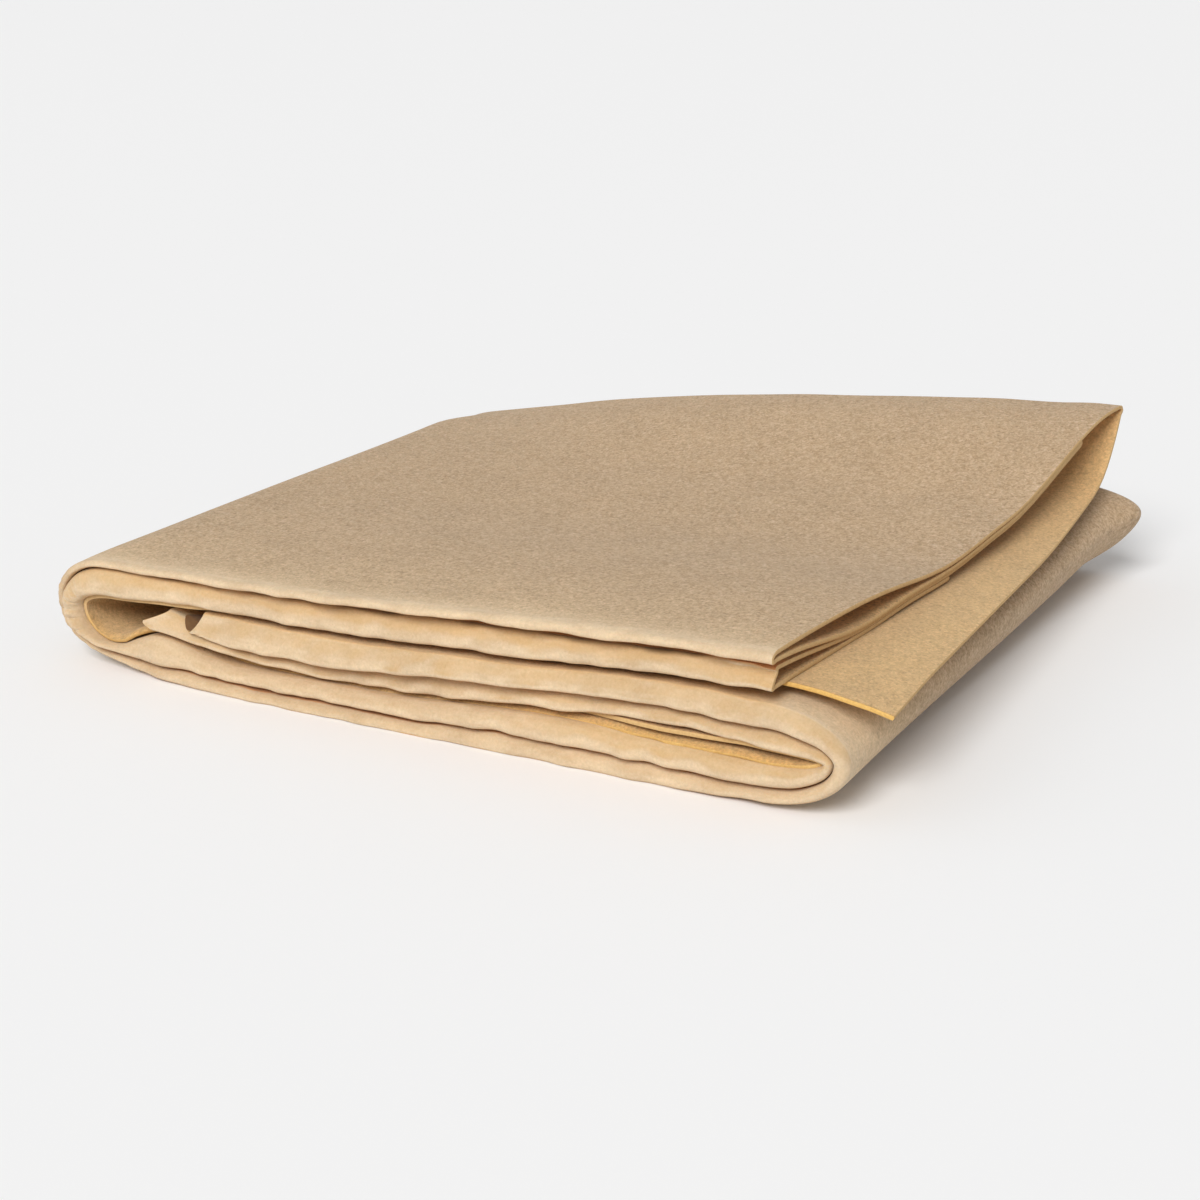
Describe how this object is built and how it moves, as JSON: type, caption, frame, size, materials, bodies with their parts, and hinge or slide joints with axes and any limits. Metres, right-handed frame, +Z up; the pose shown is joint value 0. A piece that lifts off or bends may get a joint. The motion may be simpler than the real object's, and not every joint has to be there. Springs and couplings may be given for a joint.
{
  "type": "synthetic drying cloth",
  "caption": "Soft non-woven synthetic chamois drying cloth, folded into plies and then over itself like a letter, lying flat as a pack with rounded front creases.",
  "frame": {"origin": "on the table under the middle of the pack's bounding box", "axes": "+X along the front creases to the free end, +Y from the front to the back, +Z up"},
  "size_m": [0.1449, 0.1318, 0.0312],
  "materials": {
    "suede_face": "matt suede-like non-woven, fine fibrous mottling, tan to grey-beige",
    "crease_cream": "matt non-woven, worn paler over the rounded creases",
    "inner_yellow": "matt non-woven, golden yellow where the cut edge bares the core"
  },
  "bodies": {
    "base": {"bottom_outer_leaf": "suede_face", "bottom_second_leaf": "crease_cream", "bottom_third_leaf": "crease_cream", "bottom_short_leaf": "suede_face", "bottom_inner_leaf": "inner_yellow", "left_fold_lower": "suede_face", "right_fold_lower": "suede_face"},
    "middle_panel": {"middle_outer_leaf": "suede_face", "middle_second_leaf": "crease_cream", "middle_third_leaf": "crease_cream", "middle_short_leaf": "suede_face", "middle_inner_leaf": "inner_yellow", "right_fold_upper": "suede_face"},
    "top_panel": {"top_outer_leaf": "suede_face", "top_second_leaf": "crease_cream", "top_third_leaf": "crease_cream", "top_short_leaf": "suede_face", "top_inner_leaf": "inner_yellow", "left_fold_upper": "suede_face"}
  },
  "joints": [
    {"name": "top_fold", "type": "hinge", "parent": "base", "child": "top_panel", "pos_m": [-0.07245, 0, 0.0096], "axis": [0, -1, 0], "range_deg": [0, 174]},
    {"name": "middle_fold", "type": "hinge", "parent": "base", "child": "middle_panel", "pos_m": [0.06835, 0, 0.0083], "axis": [0, 1, 0], "range_deg": [0, 26.1]}
  ],
  "couplings": [
    {"joint": "middle_fold", "follows": "top_fold", "ratio": 0.15}
  ]
}
